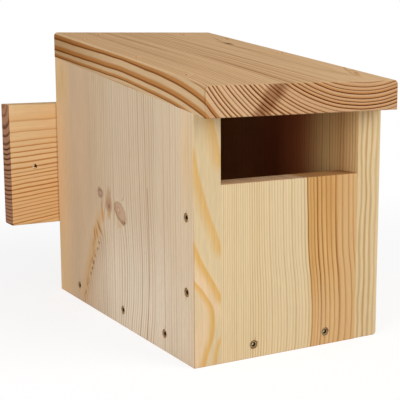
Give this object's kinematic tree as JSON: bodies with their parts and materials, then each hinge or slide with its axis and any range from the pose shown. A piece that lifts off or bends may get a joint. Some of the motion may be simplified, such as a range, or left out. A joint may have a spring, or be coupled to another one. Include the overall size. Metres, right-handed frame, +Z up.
{
  "type": "bird nest box",
  "caption": "Half-open wooden bird nest box with a sloping roof board, a low front under a wide entrance, and a cross batten behind for fixing it to a wall.",
  "frame": {"origin": "centre of the whole object's footprint, on the plane that the box stands on", "axes": "+X to the right seen from the front, +Y from the entrance back to the wall, +Z up"},
  "size_m": [0.232, 0.277, 0.2187],
  "materials": {
    "pine": "planed, untreated",
    "larch_roof": "planed, untreated",
    "larch_batten": "planed, untreated",
    "screw_steel": "satin zinc plating"
  },
  "bodies": {
    "root": {"left_side": "pine", "right_side": "pine", "front_board": "pine", "back_board": "pine", "floor_board": "pine", "roof_board": "larch_roof", "wall_batten": "larch_batten", "left_floor_screw_front": "screw_steel", "left_floor_screw_middle": "screw_steel", "left_floor_screw_rear": "screw_steel", "left_front_screw_lower": "screw_steel", "left_front_screw_upper": "screw_steel", "right_floor_screw_front": "screw_steel", "right_floor_screw_middle": "screw_steel", "right_floor_screw_rear": "screw_steel", "right_front_screw_lower": "screw_steel", "right_front_screw_upper": "screw_steel", "front_floor_screw_left": "screw_steel", "front_floor_screw_right": "screw_steel", "back_floor_screw_left": "screw_steel", "back_floor_screw_right": "screw_steel", "roof_left_screw_front": "screw_steel", "roof_left_screw_middle": "screw_steel", "roof_left_screw_rear": "screw_steel", "roof_back_screw_left": "screw_steel", "batten_left_screw_lower": "screw_steel", "batten_left_screw_upper": "screw_steel", "roof_right_screw_front": "screw_steel", "roof_right_screw_middle": "screw_steel", "roof_right_screw_rear": "screw_steel", "roof_back_screw_right": "screw_steel", "batten_right_screw_lower": "screw_steel", "batten_right_screw_upper": "screw_steel"}
  },
  "joints": []
}
